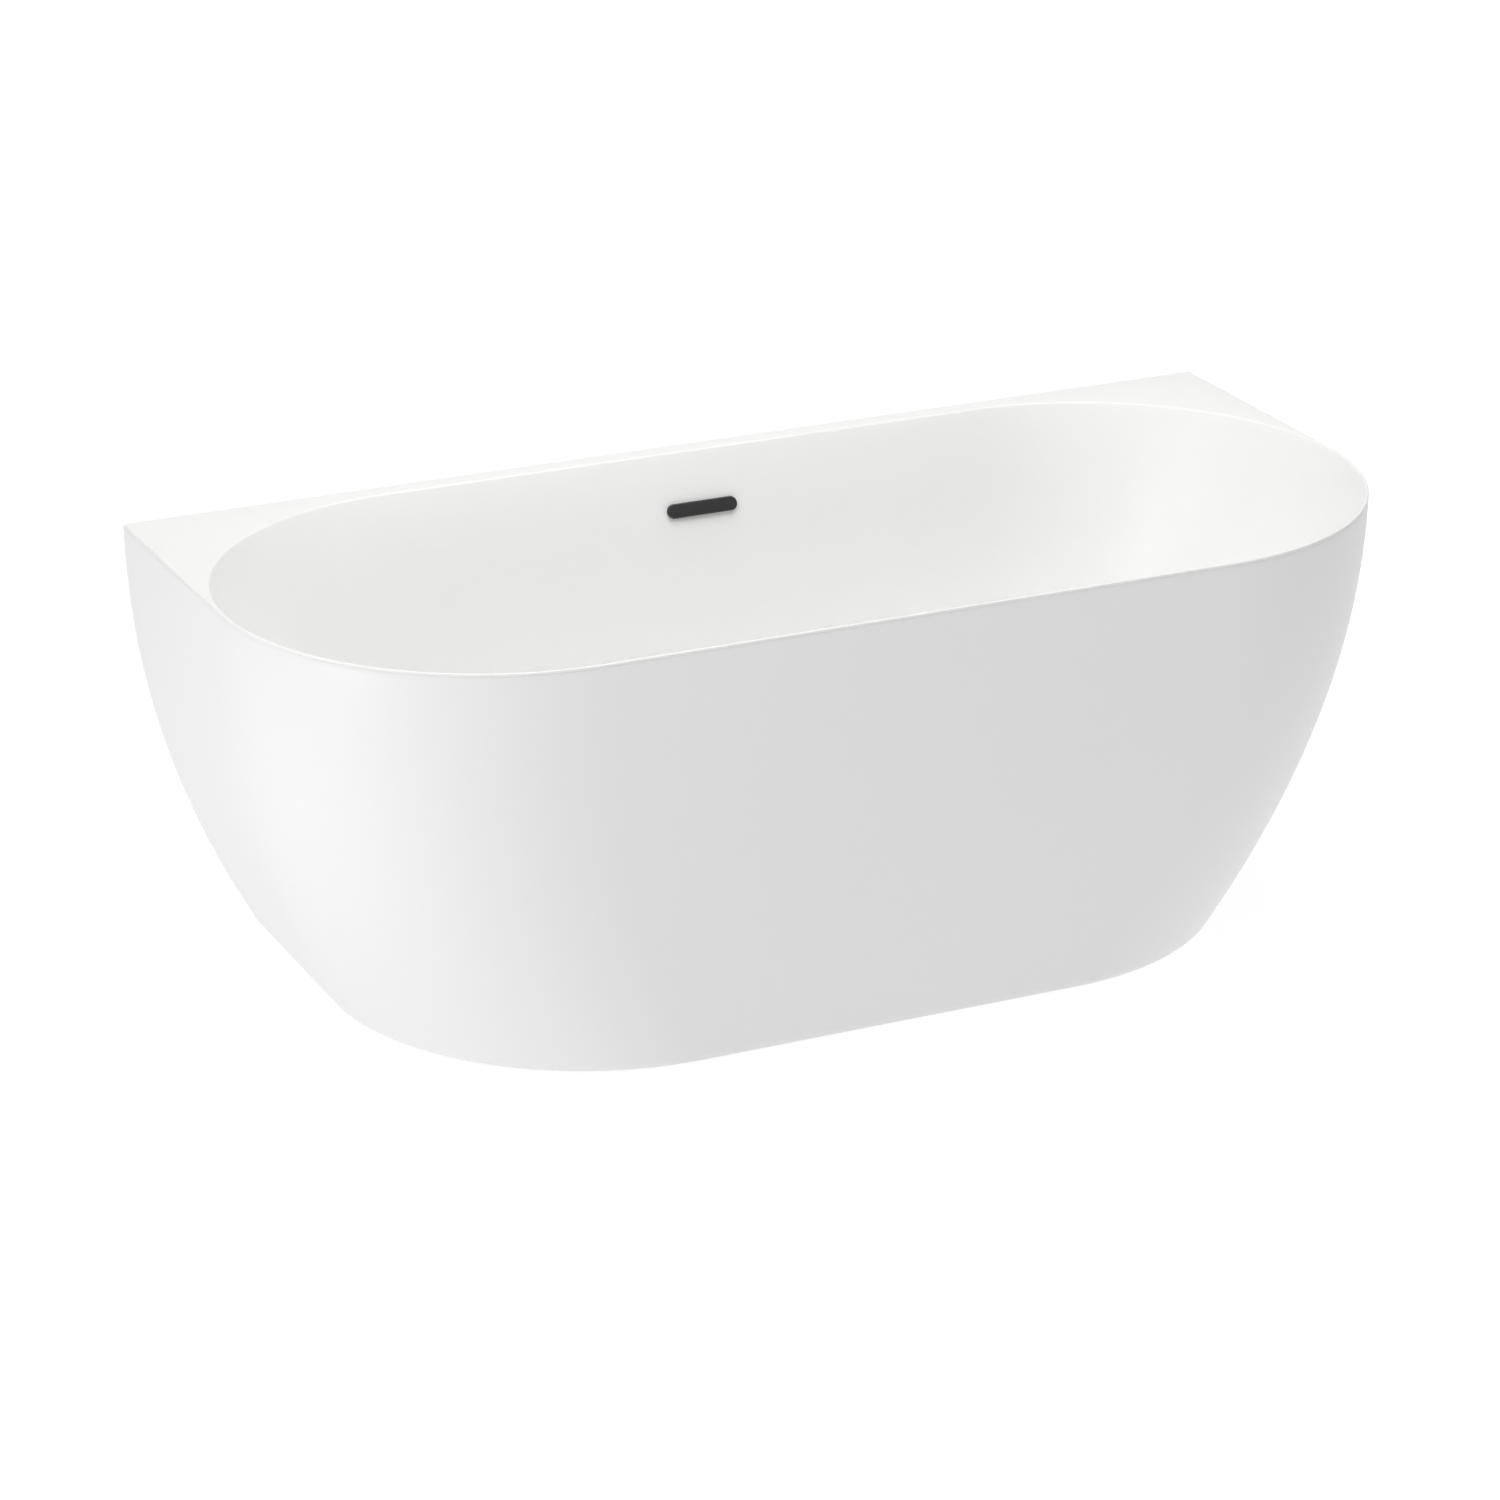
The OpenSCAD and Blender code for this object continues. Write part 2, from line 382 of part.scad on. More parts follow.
// body below the lock nut, with the overflow port towards the wall
module waste_body() color(c_grey) at_waste() difference() {
  union() {
    translate([0, 0, 60]) cylinder(r = 29, h = 62);
    translate([0, 0, hose_z]) rotate([-90, 0, 0]) cylinder(d = 28, h = 52);
    translate([0, 0, hose_z]) rotate([-90, 0, 0]) cylinder(d = 22, h = 66);
    translate([0, 0, 46]) cylinder(r = 22, h = 15);
  }
  translate([0, 0, 66]) cylinder(r = 26, h = 42);
  translate([0, 0, 107]) cylinder(r = 24.1, h = 16);
  translate([0, 0, 45]) cylinder(r = 19, h = 24);
  translate([0, 0, hose_z]) rotate([-90, 0, 0]) cylinder(d = 16, h = 70);
}
module trap_nut() color(c_grey) at_waste() difference() {
  translate([0, 0, 46]) cylinder(r = 31, h = 13.5);
  translate([0, 0, 45]) cylinder(r = 22.2, h = 20);
}
// shallow trap: a round cup with its outlet to the side
module trap_body() color(c_grey) at_waste() difference() {
  union() {
    translate([0, 0, 12]) cylinder(r = 44, h = 34);
    translate([30, 0, 29]) rotate([0, 90, 0]) cylinder(r = 15.5, h = 32);
  }
  translate([0, 0, 15]) cylinder(r = 41, h = 28);
  translate([0, 0, 40]) cylinder(r = 19, h = 20);
  translate([30, 0, 29]) rotate([0, 90, 0]) cylinder(r = 12.5, h = 40);
  translate([0, 0, 5]) cylinder(r = 22, h = 12);
}
module cleanout_cap() color(c_black) at_waste() { translate([0, 0, 6]) cylinder(r = 27, h = 6); translate([0, 0, 11]) cylinder(r = 21.8, h = 5.5); translate([0, -3, 3]) translate([-18, 0, 0]) cube([36, 6, 3.5]); }
module outlet_nut() color(c_grey) at_waste() translate([50, 0, 29]) rotate([0, 90, 0]) difference() { cylinder(r = 21, h = 16); translate([0, 0, -1]) cylinder(r = 15.6, h = 20); }
// quarter bend from +X to +Y, then a socket for the outlet pipe
bend_r = 26;
pipe_x = 84 + bend_r;
module outlet_elbow() color(c_grey) at_waste() translate([0, 0, 29]) difference() {
  union() {
    translate([66.2, 0, 0]) rotate([0, 90, 0]) cylinder(r = 18, h = 84 - 66.2);
    translate([84, bend_r, 0]) rotate([0, 0, -90]) rotate_extrude(angle = 90) translate([bend_r, 0]) circle(r = 18);
    translate([pipe_x, bend_r, 0]) rotate([-90, 0, 0]) cylinder(r = 23, h = 28);
  }
  translate([60, 0, 0]) rotate([0, 90, 0]) cylinder(r = 15, h = 24);
  translate([84, bend_r, 0]) rotate([0, 0, -90]) rotate_extrude(angle = 90) translate([bend_r, 0]) circle(r = 15);
  translate([pipe_x, bend_r - 0.1, 0]) rotate([-90, 0, 0]) cylinder(r = 15, h = 5);
  translate([pipe_x, bend_r + 4, 0]) rotate([-90, 0, 0]) cylinder(r = outlet_d / 2 + 0.1, h = 30);
}
// pipe with a stop bead 50 mm short of its free end
pipe_l = 300;
module outlet_pipe() color(c_grey) at_waste() translate([pipe_x, bend_r + 4, 29]) rotate([-90, 0, 0]) difference() {
  union() { cylinder(r = outlet_d / 2, h = pipe_l); translate([0, 0, pipe_l - 54]) cylinder(r = outlet_d / 2 + 1.5, h = 4); }
  translate([0, 0, -1]) cylinder(r = outlet_d / 2 - 2, h = pipe_l + 2);
}

tub_shell();
outer_skirt();
base_board();
rim_batten();
frame_rail_front();
frame_rail_rear();
cross_member_left();
cross_member_middle();
cross_member_right();
foot_1_bracket();
foot_2_bracket();
foot_3_bracket();
foot_4_bracket();
foot_5_bracket();
foot_6_bracket();
foot_weld_nuts();
foot_lock_nuts();
foot_1_rod();
foot_2_rod();
foot_3_rod();
foot_4_rod();
foot_5_rod();
foot_6_rod();
foot_1_pad();
foot_2_pad();
foot_3_pad();
foot_4_pad();
foot_5_pad();
foot_6_pad();
frame_screws();
overflow_cover();
overflow_gasket();
overflow_body();
overflow_screws();
overflow_hose();
hose_nut_upper();
hose_nut_lower();
waste_flange();
flange_seal();
under_seal();
waste_lock_nut();
plug_cap();
plug_seal();
plug_stem();
click_cartridge();
cartridge_spring();
waste_body();
trap_nut();
trap_body();
cleanout_cap();
outlet_nut();
outlet_elbow();
outlet_pipe();
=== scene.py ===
import json
import math
import bpy
import bmesh
import numpy as np
from mathutils import Matrix, Vector


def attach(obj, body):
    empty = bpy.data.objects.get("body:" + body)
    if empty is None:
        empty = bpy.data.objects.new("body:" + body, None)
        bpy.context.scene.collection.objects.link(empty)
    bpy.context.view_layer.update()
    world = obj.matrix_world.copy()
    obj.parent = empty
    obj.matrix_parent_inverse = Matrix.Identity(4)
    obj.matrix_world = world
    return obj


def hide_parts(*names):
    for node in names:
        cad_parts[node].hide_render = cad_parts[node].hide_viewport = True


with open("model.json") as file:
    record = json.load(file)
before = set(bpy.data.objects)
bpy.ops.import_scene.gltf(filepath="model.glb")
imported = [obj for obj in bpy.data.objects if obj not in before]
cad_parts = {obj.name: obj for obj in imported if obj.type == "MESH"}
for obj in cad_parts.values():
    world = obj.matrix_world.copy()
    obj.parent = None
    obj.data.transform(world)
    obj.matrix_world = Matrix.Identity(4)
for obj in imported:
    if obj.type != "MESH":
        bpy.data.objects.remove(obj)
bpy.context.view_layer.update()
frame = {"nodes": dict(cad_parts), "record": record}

MM = 0.001
rng = np.random.default_rng(7)

# ------------------------------------------------------------------ camera
AZ, EL, DIST = -24.998, 21.442, 6.6612
TX, TY, FOCAL = -0.7369, -0.0771, 5.0241


def make_camera():
    az, el = math.radians(AZ), math.radians(EL)
    back = Vector((math.sin(az) * math.cos(el), -math.cos(az) * math.cos(el), math.sin(el)))
    right = Vector((math.cos(az), math.sin(az), 0))
    up = back.cross(right)
    loc = Vector((0, -0.025, 0.3)) + back * DIST + right * TX * 0.1 + up * TY * 0.1
    cam = bpy.data.cameras.new("camera")
    cam.sensor_fit = "HORIZONTAL"
    cam.sensor_width = 36
    cam.lens = 36 * FOCAL / 1.5
    cam.clip_end = 200
    ob = bpy.data.objects.new("camera", cam)
    ob.matrix_world = Matrix(((right.x, up.x, back.x, loc.x), (right.y, up.y, back.y, loc.y), (right.z, up.z, back.z, loc.z), (0, 0, 0, 1)))
    bpy.context.collection.objects.link(ob)
    bpy.context.scene.camera = ob
    return ob


camera = make_camera()

# ------------------------------------------------------------------ materials


class Mat:
    """A small helper for node materials in object space, in metres."""

    def __init__(self, name, color=(0.8, 0.8, 0.8), rough=0.5, metallic=0.0, **sockets):
        self.m = bpy.data.materials.new(name)
        self.m.use_nodes = True
        self.t = self.m.node_tree
        self.b = self.t.nodes["Principled BSDF"]
        self.b.inputs["Base Color"].default_value = (*color, 1)
        self.b.inputs["Roughness"].default_value = rough
        self.b.inputs["Metallic"].default_value = metallic
        for k, v in sockets.items():
            self.b.inputs[k.replace("_", " ")].default_value = v
        self.co = self.n("ShaderNodeTexCoord")
        self.heights = []

    def n(self, kind, **props):
        node = self.t.nodes.new(kind)
        for k, v in props.items():
            setattr(node, k, v)
        return node

    def link(self, a, b):
        self.t.links.new(a, b)

    def coords(self, scale=(1, 1, 1), rot=(0, 0, 0)):
        mp = self.n("ShaderNodeMapping")
        mp.inputs["Scale"].default_value = scale
        mp.inputs["Rotation"].default_value = rot
        self.link(self.co.outputs["Object"], mp.inputs["Vector"])
        return mp.outputs["Vector"]

    def noise(self, scale, detail=3, rough=0.55, stretch=(1, 1, 1), distortion=0.0):
        nz = self.n("ShaderNodeTexNoise")
        nz.inputs["Scale"].default_value = scale
        nz.inputs["Detail"].default_value = detail
        nz.inputs["Roughness"].default_value = rough
        nz.inputs["Distortion"].default_value = distortion
        self.link(self.coords(stretch), nz.inputs["Vector"])
        return nz.outputs["Fac"]

    def voronoi(self, scale, feature="F1", out="Distance", stretch=(1, 1, 1), rand=1.0):
        v = self.n("ShaderNodeTexVoronoi", feature=feature)
        v.inputs["Scale"].default_value = scale
        v.inputs["Randomness"].default_value = rand
        self.link(self.coords(stretch), v.inputs["Vector"])
        return v.outputs[out]

    def math(self, op, a, b=None, clamp=False):
        m = self.n("ShaderNodeMath", operation=op, use_clamp=clamp)
        for i, x in enumerate((a, b)):
            if x is None:
                continue
            if isinstance(x, (int, float)):
                m.inputs[i].default_value = x
            else:
                self.link(x, m.inputs[i])
        return m.outputs[0]

    def ramp(self, fac, stops):
        r = self.n("ShaderNodeValToRGB")
        e = r.color_ramp.elements
        while len(e) < len(stops):
            e.new(0.5)
        for el, (p, c) in zip(e, stops):
            el.position = p
            el.color = (*c, 1) if len(c) == 3 else c
        self.link(fac, r.inputs["Fac"])
        return r.outputs["Color"]

    def span(self, fac, lo, hi, f0=0.0, f1=1.0):
        r = self.n("ShaderNodeMapRange")
        r.inputs["From Min"].default_value = f0
        r.inputs["From Max"].default_value = f1
        r.inputs["To Min"].default_value = lo
        r.inputs["To Max"].default_value = hi
        self.link(fac, r.inputs["Value"])
        return r.outputs["Result"]

    def mix(self, fac, a, b, blend="MIX"):
        m = self.n("ShaderNodeMix", data_type="RGBA", blend_type=blend)
        if isinstance(fac, (int, float)):
            m.inputs["Factor"].default_value = fac
        else:
            self.link(fac, m.inputs["Factor"])
        for key, x in (("A", a), ("B", b)):
            sock = [s for s in m.inputs if s.name == key and s.type == "RGBA"][0]
            if isinstance(x, tuple):
                sock.default_value = (*x, 1)
            else:
                self.link(x, sock)
        return [s for s in m.outputs if s.type == "RGBA"][0]

    def color(self, c):
        self.link(c, self.b.inputs["Base Color"])

    def rough(self, r):
        self.link(r, self.b.inputs["Roughness"])

    def bump(self, height, strength, distance):
        b = self.n("ShaderNodeBump")
        b.inputs["Strength"].default_value = strength
        b.inputs["Distance"].default_value = distance
        self.link(height, b.inputs["Height"])
        if self.heights:
            self.link(self.heights[-1], b.inputs["Normal"])
        self.heights.append(b.outputs["Normal"])
        self.link(b.outputs["Normal"], self.b.inputs["Normal"])


def acrylic(name="acrylic_white", low=(0.898, 0.897, 0.886), high=(0.910, 0.910, 0.901)):
    """Satin white sanitary acrylic: faint orange peel, slow waviness, barely uneven gloss."""
    m = Mat(name, high, 0.40, Coat_Weight=0.12, Coat_Roughness=0.22)
    slow = m.noise(2.2, 2)
    fine = m.noise(38, 3)
    m.color(m.mix(m.span(m.math("ADD", m.math("MULTIPLY", slow, 0.6), m.math("MULTIPLY", fine, 0.4)), 0, 1, 0.3, 0.7), low, high))
    m.rough(m.span(m.math("ADD", m.math("MULTIPLY", fine, 0.5), m.math("MULTIPLY", m.noise(420, 2), 0.5)), 0.36, 0.46, 0.3, 0.7))
    m.bump(m.noise(260, 2, 0.5), 0.10, 0.00012)
    m.bump(m.noise(14, 1), 0.06, 0.0010)
    return m.m


def laminate():
    """Rolled glass-fibre reinforcement on the hidden side: chopped strands under resin."""
    m = Mat("grp_laminate", (0.62, 0.64, 0.58), 0.38, Coat_Weight=0.35, Coat_Roughness=0.3)
    s1 = m.noise(55, 4, 0.7, (1, 6, 6), 0.6)
    s2 = m.noise(55, 4, 0.7, (6, 1, 6), 0.6)
    s3 = m.noise(55, 4, 0.7, (6, 6, 1), 0.6)
    strands = m.math("MAXIMUM", m.math("MAXIMUM", s1, s2), s3)
    blotch = m.noise(6, 3)
    m.color(m.mix(m.span(strands, 0, 1, 0.5, 0.72), m.ramp(blotch, [(0.3, (0.50, 0.53, 0.45)), (0.7, (0.60, 0.62, 0.54))]), (0.80, 0.81, 0.76)))
    m.rough(m.span(strands, 0.28, 0.6, 0.45, 0.7))
    m.bump(strands, 0.6, 0.0012)
    m.bump(blotch, 0.5, 0.004)
    return m.m


def chipboard():
    m = Mat("chipboard_raw", (0.6, 0.45, 0.28), 0.85)
    chip = m.voronoi(260, out="Color", stretch=(1, 0.45, 1))
    chip2 = m.voronoi(420, out="Color", stretch=(0.5, 1, 1))
    sep = m.n("ShaderNodeSeparateColor")
    m.link(chip, sep.inputs[0])
    sep2 = m.n("ShaderNodeSeparateColor")
    m.link(chip2, sep2.inputs[0])
    v = m.math("ADD", m.math("MULTIPLY", sep.outputs[0], 0.55), m.math("MULTIPLY", sep2.outputs[0], 0.45))
    m.color(m.ramp(v, [(0.05, (0.30, 0.19, 0.10)), (0.35, (0.55, 0.38, 0.21)), (0.65, (0.68, 0.50, 0.30)), (0.95, (0.80, 0.65, 0.44))]))
    m.rough(m.span(v, 0.75, 0.92))
    m.bump(v, 0.5, 0.0006)
    m.bump(m.noise(900, 2), 0.3, 0.0003)
    return m.m


def timber():
    m = Mat("softwood", (0.7, 0.5, 0.3), 0.68)
    w = m.n("ShaderNodeTexWave", wave_type="BANDS", bands_direction="Z")
    w.inputs["Scale"].default_value = 55
    w.inputs["Distortion"].default_value = 5
    w.inputs["Detail"].default_value = 3
    w.inputs["Detail Scale"].default_value = 1.4
    m.link(m.coords((0.06, 1, 1)), w.inputs["Vector"])
    fibre = m.noise(900, 3, 0.6, (0.03, 1, 1))
    v = m.math("ADD", m.math("MULTIPLY", w.outputs["Fac"], 0.7), m.math("MULTIPLY", fibre, 0.3))
    m.color(m.ramp(v, [(0.1, (0.46, 0.28, 0.13)), (0.5, (0.66, 0.46, 0.25)), (0.9, (0.78, 0.60, 0.37))]))
    m.rough(m.span(fibre, 0.6, 0.8, 0.3, 0.7))
    m.bump(fibre, 0.4, 0.0004)
    return m.m


def galvanised():
    m = Mat("galvanised_steel", (0.6, 0.62, 0.63), 0.4, 0.9)
    cell = m.voronoi(110, out="Color")
    sep = m.n("ShaderNodeSeparateColor")
    m.link(cell, sep.inputs[0])
    cloud = m.noise(24, 3)
    v = m.math("ADD", m.math("MULTIPLY", sep.outputs[0], 0.5), m.math("MULTIPLY", cloud, 0.5))
    m.color(m.ramp(v, [(0.25, (0.42, 0.44, 0.46)), (0.5, (0.55, 0.57, 0.58)), (0.8, (0.68, 0.69, 0.70))]))
    m.rough(m.span(v, 0.32, 0.55, 0.2, 0.8))
    m.bump(m.noise(700, 2), 0.2, 0.0002)
    return m.m


def zinc():
    m = Mat("zinc_plated", (0.7, 0.69, 0.64), 0.32, 1.0)
    f = m.noise(180, 4, 0.6)
    m.color(m.ramp(f, [(0.3, (0.62, 0.61, 0.55)), (0.7, (0.76, 0.75, 0.71))]))
    m.rough(m.span(f, 0.24, 0.42, 0.3, 0.7))
    m.bump(m.noise(1400, 2), 0.15, 0.0001)
    return m.m


def bright_steel():
    m = Mat("bright_steel", (0.66, 0.66, 0.66), 0.25, 1.0)
    f = m.noise(600, 3, 0.6, (1, 1, 0.05))
    m.rough(m.span(f, 0.18, 0.34, 0.3, 0.7))
    m.color(m.mix(f, (0.60, 0.60, 0.61), (0.72, 0.72, 0.72)))
    m.bump(f, 0.15, 0.0001)
    return m.m


def brass():
    m = Mat("machined_brass", (0.75, 0.56, 0.27), 0.3, 1.0)
    f = m.noise(500, 3, 0.6, (1, 1, 0.1))
    m.rough(m.span(f, 0.22, 0.4, 0.3, 0.7))
    m.color(m.mix(f, (0.66, 0.48, 0.22), (0.80, 0.62, 0.32)))
    m.bump(f, 0.15, 0.0001)
    return m.m


def matt_black():
    """Matt black powder coat: very fine grain, slightly lighter where it catches light."""
    m = Mat("matt_black_coat", (0.024, 0.024, 0.026), 0.55)
    g = m.noise(1800, 2, 0.6)
    c = m.noise(120, 2)
    m.color(m.mix(c, (0.020, 0.020, 0.0215), (0.028, 0.028, 0.0295)))
    m.rough(m.span(g, 0.44, 0.62, 0.3, 0.7))
    m.bump(g, 0.35, 0.00010)
    return m.m


def rubber():
    m = Mat("black_rubber", (0.025, 0.025, 0.025), 0.7)
    g = m.noise(700, 3)
    m.color(m.mix(g, (0.018, 0.018, 0.018), (0.036, 0.036, 0.036)))
    m.rough(m.span(g, 0.6, 0.85, 0.3, 0.7))
    m.bump(g, 0.3, 0.0002)
    return m.m


def moulded(name, c, rough=0.42):
    m = Mat(name, c, rough)
    g = m.noise(900, 2)
    w = m.noise(30, 2)
    d = tuple(x * 0.93 for x in c)
    m.color(m.mix(w, d, c))
    m.rough(m.span(g, rough - 0.08, rough + 0.1, 0.3, 0.7))
    m.bump(g, 0.2, 0.00015)
    return m.m


MATS = {
    "white_acrylic": acrylic(),
    "grp": laminate(),
    "chipboard": chipboard(),
    "timber": timber(),
    "frame_steel": galvanised(),
    "zinc_steel": zinc(),
    "spring_steel": bright_steel(),
    "cartridge_brass": brass(),
    "matt_black": matt_black(),
    "rubber_seal": rubber(),
    "pad_plastic": moulded("pad_black", (0.035, 0.035, 0.038), 0.5),
    "black_plastic": moulded("cap_black", (0.030, 0.030, 0.033), 0.38),
    "grey_plastic": moulded("polypropylene_white", (0.74, 0.745, 0.74), 0.36),
    "hose_plastic": moulded("hose_grey", (0.50, 0.515, 0.53), 0.34),
}
SLOT = {s["node"]: s["material_slot"] for s in frame["record"]["subparts"]}
for name, ob in frame["nodes"].items():
    ob.data.materials.clear()
    ob.data.materials.append(MATS[SLOT[name]])

# ------------------------------------------------------------------ helpers


def mesh_object(name, verts, faces, mats, face_mat=None, smooth=True, sharp=None):
    me = bpy.data.meshes.new(name)
    me.from_pydata([tuple(v) for v in verts], [], [tuple(int(i) for i in f) for f in faces])
    for m in mats:
        me.materials.append(m)
    if face_mat is not None:
        me.polygons.foreach_set("material_index", list(face_mat))
    me.polygons.foreach_set("use_smooth", [smooth] * len(me.polygons))
    bm = bmesh.new()
    bm.from_mesh(me)
    bmesh.ops.recalc_face_normals(bm, faces=bm.faces)
    if bm.calc_volume(signed=True) < 0:
        bmesh.ops.reverse_faces(bm, faces=bm.faces)
    bm.to_mesh(me)
    bm.free()
    if sharp:
        me.set_sharp_from_angle(angle=math.radians(sharp))
    me.update()
    ob = bpy.data.objects.new(name, me)
    bpy.context.collection.objects.link(ob)
    return ob


def loop_loft(rings, closed=True, cyclic=True):
    """Faces of a stack of equal rings. closed: each ring is a loop; cyclic: the last ring joins the first."""
    n, m = len(rings[0]), len(rings)
    faces = []
    for r in range(m if cyclic else m - 1):
        r2 = (r + 1) % m
        for i in range(n if closed else n - 1):
            i2 = (i + 1) % n
            faces.append((r * n + i, r * n + i2, r2 * n + i2, r2 * n + i))
    return faces


def lathe(name, prof, mats, steps=96, centre=(0, 0), face_mat=None, sharp=35):
    """Closed profile of (r, z) in mm turned round Z. Points at r = 0 become one vertex."""
    verts, idx = [], []
    for r, z in prof:
        if r <= 1e-9:
            idx.append([len(verts)] * steps)
            verts.append((centre[0] * MM, centre[1] * MM, z * MM))
        else:
            base = len(verts)
            for k in range(steps):
                a = 2 * math.pi * k / steps
                verts.append(((centre[0] + r * math.cos(a)) * MM, (centre[1] + r * math.sin(a)) * MM, z * MM))
            idx.append([base + k for k in range(steps)])
    faces, fm = [], []
    m = len(prof)
    for j in range(m):
        a, b = idx[j], idx[(j + 1) % m]
        if a[0] == a[1] and b[0] == b[1]:
            continue
        for k in range(steps):
            k2 = (k + 1) % steps
            f = []
            for v in (a[k], a[k2], b[k2], b[k]):
                if v not in f:
                    f.append(v)
            if len(f) > 2:
                faces.append(f)
                fm.append(face_mat[j] if face_mat else 0)
    return mesh_object(name, verts, faces, mats, fm, sharp=sharp)


def arc(cx, cz, r, a0, a1, n):
    return [(cx + r * math.cos(math.radians(a0 + (a1 - a0) * k / n)), cz + r * math.sin(math.radians(a0 + (a1 - a0) * k / n))) for k in range(n + 1)]


# ------------------------------------------------------------------ tub form (millimetres, as the frame)
L2, W, H, RC = 800.0, 750.0, 600.0, 363.5
BACK = W / 2
YC = BACK - 386.0
Q, S = 40, 12      # segments in a quarter arc, and along a straight


def depth_t(z):
    return max(0.0, (H - z) / H)


def out_a(z):
    return L2 - 167.0 * depth_t(z) ** 2.05


def out_d(z):
    return W - 88.0 * depth_t(z) ** 1.7


def wall_u(z):
    return min(1.0, max(0.0, (H - z) / (H - 155.0)))


def in_a(z):
    u = wall_u(z)
    return 796.0 - 251.0 * (0.9 * u + 0.1 * (1 - (1 - u) ** 3))


def in_b(z):
    u = wall_u(z)
    return 358.0 - 133.0 * (0.62 * u + 0.38 * (1 - (1 - u) ** 4))


def fil(z):
    h = max(0.0, z - 155.0)
    return 0.0 if h >= 70 else 70 - math.sqrt(70 * 70 - (70 - h) ** 2)


def corner(e, rc=3.5, m=6):
    """Quarter from the middle of the rear edge to the side, in a unit frame: list of (along, down) with a small round corner.
    along runs 0..1 from the arc centre out, down 1..0 from the wall plane to the arc centre line."""
    k = Q // 2 - m // 2
    out = []
    for j in range(k):
        out.append(("rear", math.tan(math.radians(45.0 * j / k)) * 0.985))
    for j in range(m + 1):
        out.append(("arc", 90.0 * j / m))
    for j in range(k - 1, 0, -1):
        out.append(("side", math.tan(math.radians(45.0 * j / k)) * 0.985))
    return out


CORNER = corner(0)


def rear_left(cx, cy, ex, ey, r):
    """Points from (-cx, ey) round the corner (-ex, ey) to (-ex, cy), end excluded."""
    pts = []
    for kind, v in CORNER:
        if kind == "rear":
            pts.append((-cx - (ex - r - cx) * v / 0.985, ey))
        elif kind == "arc":
            a = math.radians(90 + v)
            pts.append((-ex + r + r * math.cos(a), ey - r + r * math.sin(a)))
        else:
            pts.append((-ex, cy + (ey - r - cy) * v / 0.985))
    return pts


def d_ring(z, e, h):
    a, d = out_a(z), out_d(z)
    cx, cy, r = a - RC, BACK - d + RC, RC - e
    c = max(0.4, 1.6 - e)
    left = rear_left(cx, cy, a - e, BACK - e, c)
    pts = [(cx * (1 - 2 * i / S), BACK - e) for i in range(S)]
    pts += left
    pts += [(-cx + r * math.cos(math.radians(180 + 90 * j / Q)), cy + r * math.sin(math.radians(180 + 90 * j / Q))) for j in range(Q)]
    pts += [(-cx + 2 * cx * i / S, cy - r) for i in range(S)]
    pts += [(cx + r * math.cos(math.radians(270 + 90 * j / Q)), cy + r * math.sin(math.radians(270 + 90 * j / Q))) for j in range(Q)]
    pts += [(a - e, cy)] + [(-x, y) for x, y in reversed(left[1:])]
    return np.array([(x, y, h) for x, y in pts])


N_RING = len(d_ring(600, 0, 600))


def yb(h):
    """Centre line of the basin: the rim sits 2 mm nearer the front than the floor does."""
    return YC - 2.0 * min(1.0, max(0.0, (h - 155.0) / 445.0))


def s_ring(a, b, h):
    cx = max(0.5, a - b)
    y0 = yb(h)
    nl = len(rear_left(0, 0, 1, 1, 0.1))

    def quarter(x0, t0, n):
        return [(x0 + b * math.cos(math.radians(t0 + 90 * j / n)), y0 + b * math.sin(math.radians(t0 + 90 * j / n))) for j in range(n)]

    pts = [(cx * (1 - 2 * i / S), y0 + b) for i in range(S)]
    pts += quarter(-cx, 90, nl)
    pts += quarter(-cx, 180, Q)
    pts += [(-cx + 2 * cx * i / S, y0 - b) for i in range(S)]
    pts += quarter(cx, 270, Q)
    pts += quarter(cx, 0, nl)
    return np.array([(x, y, h) for x, y in pts])


assert len(s_ring(700, 300, 0)) == N_RING


def slope(z):
    return (in_b(z + 0.5) - fil(z + 0.5)) - (in_b(z - 0.5) - fil(z - 0.5))


def wall_ring(z, t=0.0):
    s = slope(z) if t else 0.0
    n = math.sqrt(1 + s * s)
    return s_ring(in_a(z) - fil(z) + t / n, in_b(z) - fil(z) + t / n, max(146.0, z - t * s / n) if t else z)


OV_Z = 529.0
OV_Y = yb(OV_Z) + in_b(OV_Z)
OV_S = in_b(OV_Z + 0.5) - in_b(OV_Z - 0.5)
OV_T = math.radians(90) - math.atan(OV_S)


def at_overflow(p):
    """Local point (x, up the wall, out of the wall) in mm to the row frame in metres."""
    c, s = math.cos(OV_T), math.sin(OV_T)
    return (p[0] * MM, (OV_Y + p[1] * c - p[2] * s) * MM, (OV_Z + p[1] * s + p[2] * c) * MM)


def pill_ring(l, h, z, n=28):
    r = h / 2
    cx = l / 2 - r
    pts = [(cx + r * math.cos(math.radians(-90 + 180 * k / n)), r * math.sin(math.radians(-90 + 180 * k / n)), z) for k in range(n + 1)]
    pts += [(-cx + r * math.cos(math.radians(90 + 180 * k / n)), r * math.sin(math.radians(90 + 180 * k / n)), z) for k in range(n + 1)]
    return pts


